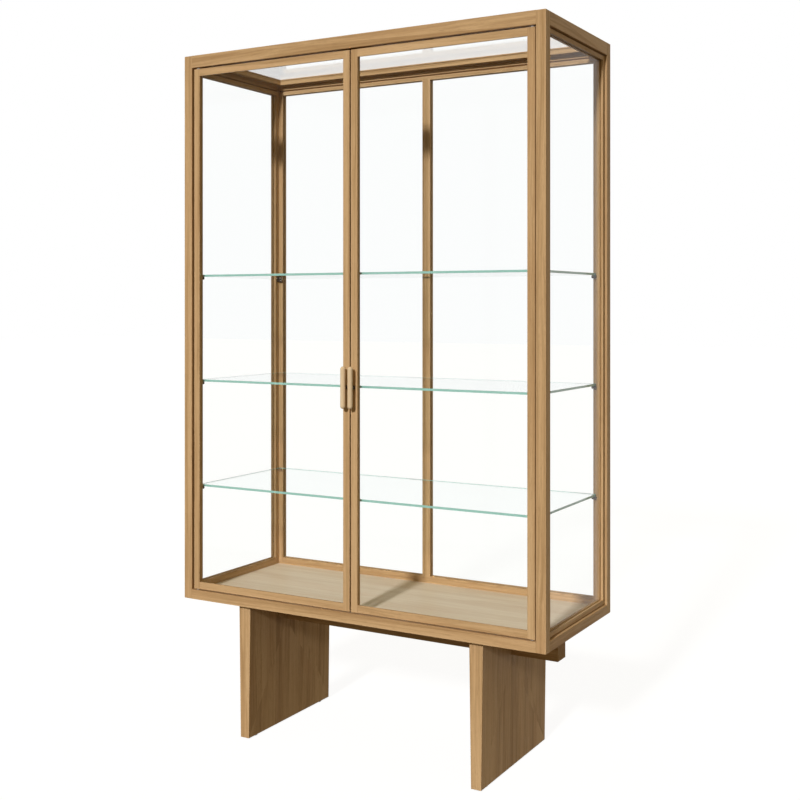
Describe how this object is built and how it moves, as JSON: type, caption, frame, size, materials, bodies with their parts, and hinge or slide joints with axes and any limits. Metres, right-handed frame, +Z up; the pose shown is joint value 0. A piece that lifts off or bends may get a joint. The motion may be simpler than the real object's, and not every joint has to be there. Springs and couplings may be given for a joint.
{
  "type": "glazed display cabinet",
  "caption": "Free-standing oak display cabinet with glazed doors, sides, back and top, glass shelves, a pale floor and tapered slab legs joined by a stretcher.",
  "frame": {"origin": "on the floor, in the middle of the whole object's box in plan, handles included", "axes": "+X to the right seen from the front, -Y out of the front where the doors open, +Z up"},
  "size_m": [1.1, 0.465, 1.9],
  "materials": {
    "oak": "natural oak, matte clear lacquer",
    "floor_veneer": "pale maple veneer, matte",
    "handle_maple": "pale turned wood, satin",
    "clear_glass": "clear polished safety glass",
    "shelf_glass": "clear glass with polished turquoise edges",
    "brass_bush": "turned brass",
    "steel_hardware": "zinc-plated steel",
    "bronze_hardware": "dark bronze, satin",
    "glide_plastic": "dark moulded plastic"
  },
  "bodies": {
    "cabinet": {"back_bottom_rail": "oak", "back_left_glass": "clear_glass", "back_left_post": "oak", "back_panel_mullion": "oak", "back_panel_rails": "oak", "back_panel_stiles": "oak", "back_right_glass": "clear_glass", "back_right_post": "oak", "back_top_rail": "oak", "base_bolts": "steel_hardware", "catch_block": "oak", "catch_magnets": "steel_hardware", "floor_panel": "floor_veneer", "front_bottom_rail": "oak", "front_left_post": "oak", "front_right_post": "oak", "front_top_rail": "oak", "hinge_pins": "steel_hardware", "left_bottom_rail": "oak", "left_leg": "oak", "left_panel_glass": "clear_glass", "left_panel_rails": "oak", "left_panel_stiles": "oak", "left_top_rail": "oak", "leg_glides": "glide_plastic", "lower_shelf": "shelf_glass", "middle_shelf": "shelf_glass", "panel_glazing_beads": "oak", "right_bottom_rail": "oak", "right_leg": "oak", "right_panel_glass": "clear_glass", "right_panel_rails": "oak", "right_panel_stiles": "oak", "right_top_rail": "oak", "shelf_pins": "bronze_hardware", "stretcher": "oak", "top_panel_glass": "clear_glass", "top_panel_rails": "oak", "top_panel_stiles": "oak", "upper_shelf": "shelf_glass"},
    "left_door": {"left_door_bottom_rail": "oak", "left_door_catch_strike": "steel_hardware", "left_door_glass": "clear_glass", "left_door_glazing_beads": "oak", "left_door_handle": "handle_maple", "left_door_handle_fixing": "bronze_hardware", "left_door_hinge_bushes": "brass_bush", "left_door_hinge_stile": "oak", "left_door_meeting_stile": "oak", "left_door_top_rail": "oak"},
    "right_door": {"right_door_bottom_rail": "oak", "right_door_catch_strike": "steel_hardware", "right_door_glass": "clear_glass", "right_door_glazing_beads": "oak", "right_door_handle": "handle_maple", "right_door_handle_fixing": "bronze_hardware", "right_door_hinge_bushes": "brass_bush", "right_door_hinge_stile": "oak", "right_door_meeting_stile": "oak", "right_door_top_rail": "oak"}
  },
  "joints": [
    {"name": "left_door_hinge", "type": "hinge", "parent": "cabinet", "child": "left_door", "pos_m": [-0.51, -0.1975, 0.397], "axis": [0, 0, -1], "range_deg": [0, 100]},
    {"name": "right_door_hinge", "type": "hinge", "parent": "cabinet", "child": "right_door", "pos_m": [0.51, -0.1975, 0.397], "axis": [0, 0, 1], "range_deg": [0, 100]}
  ]
}
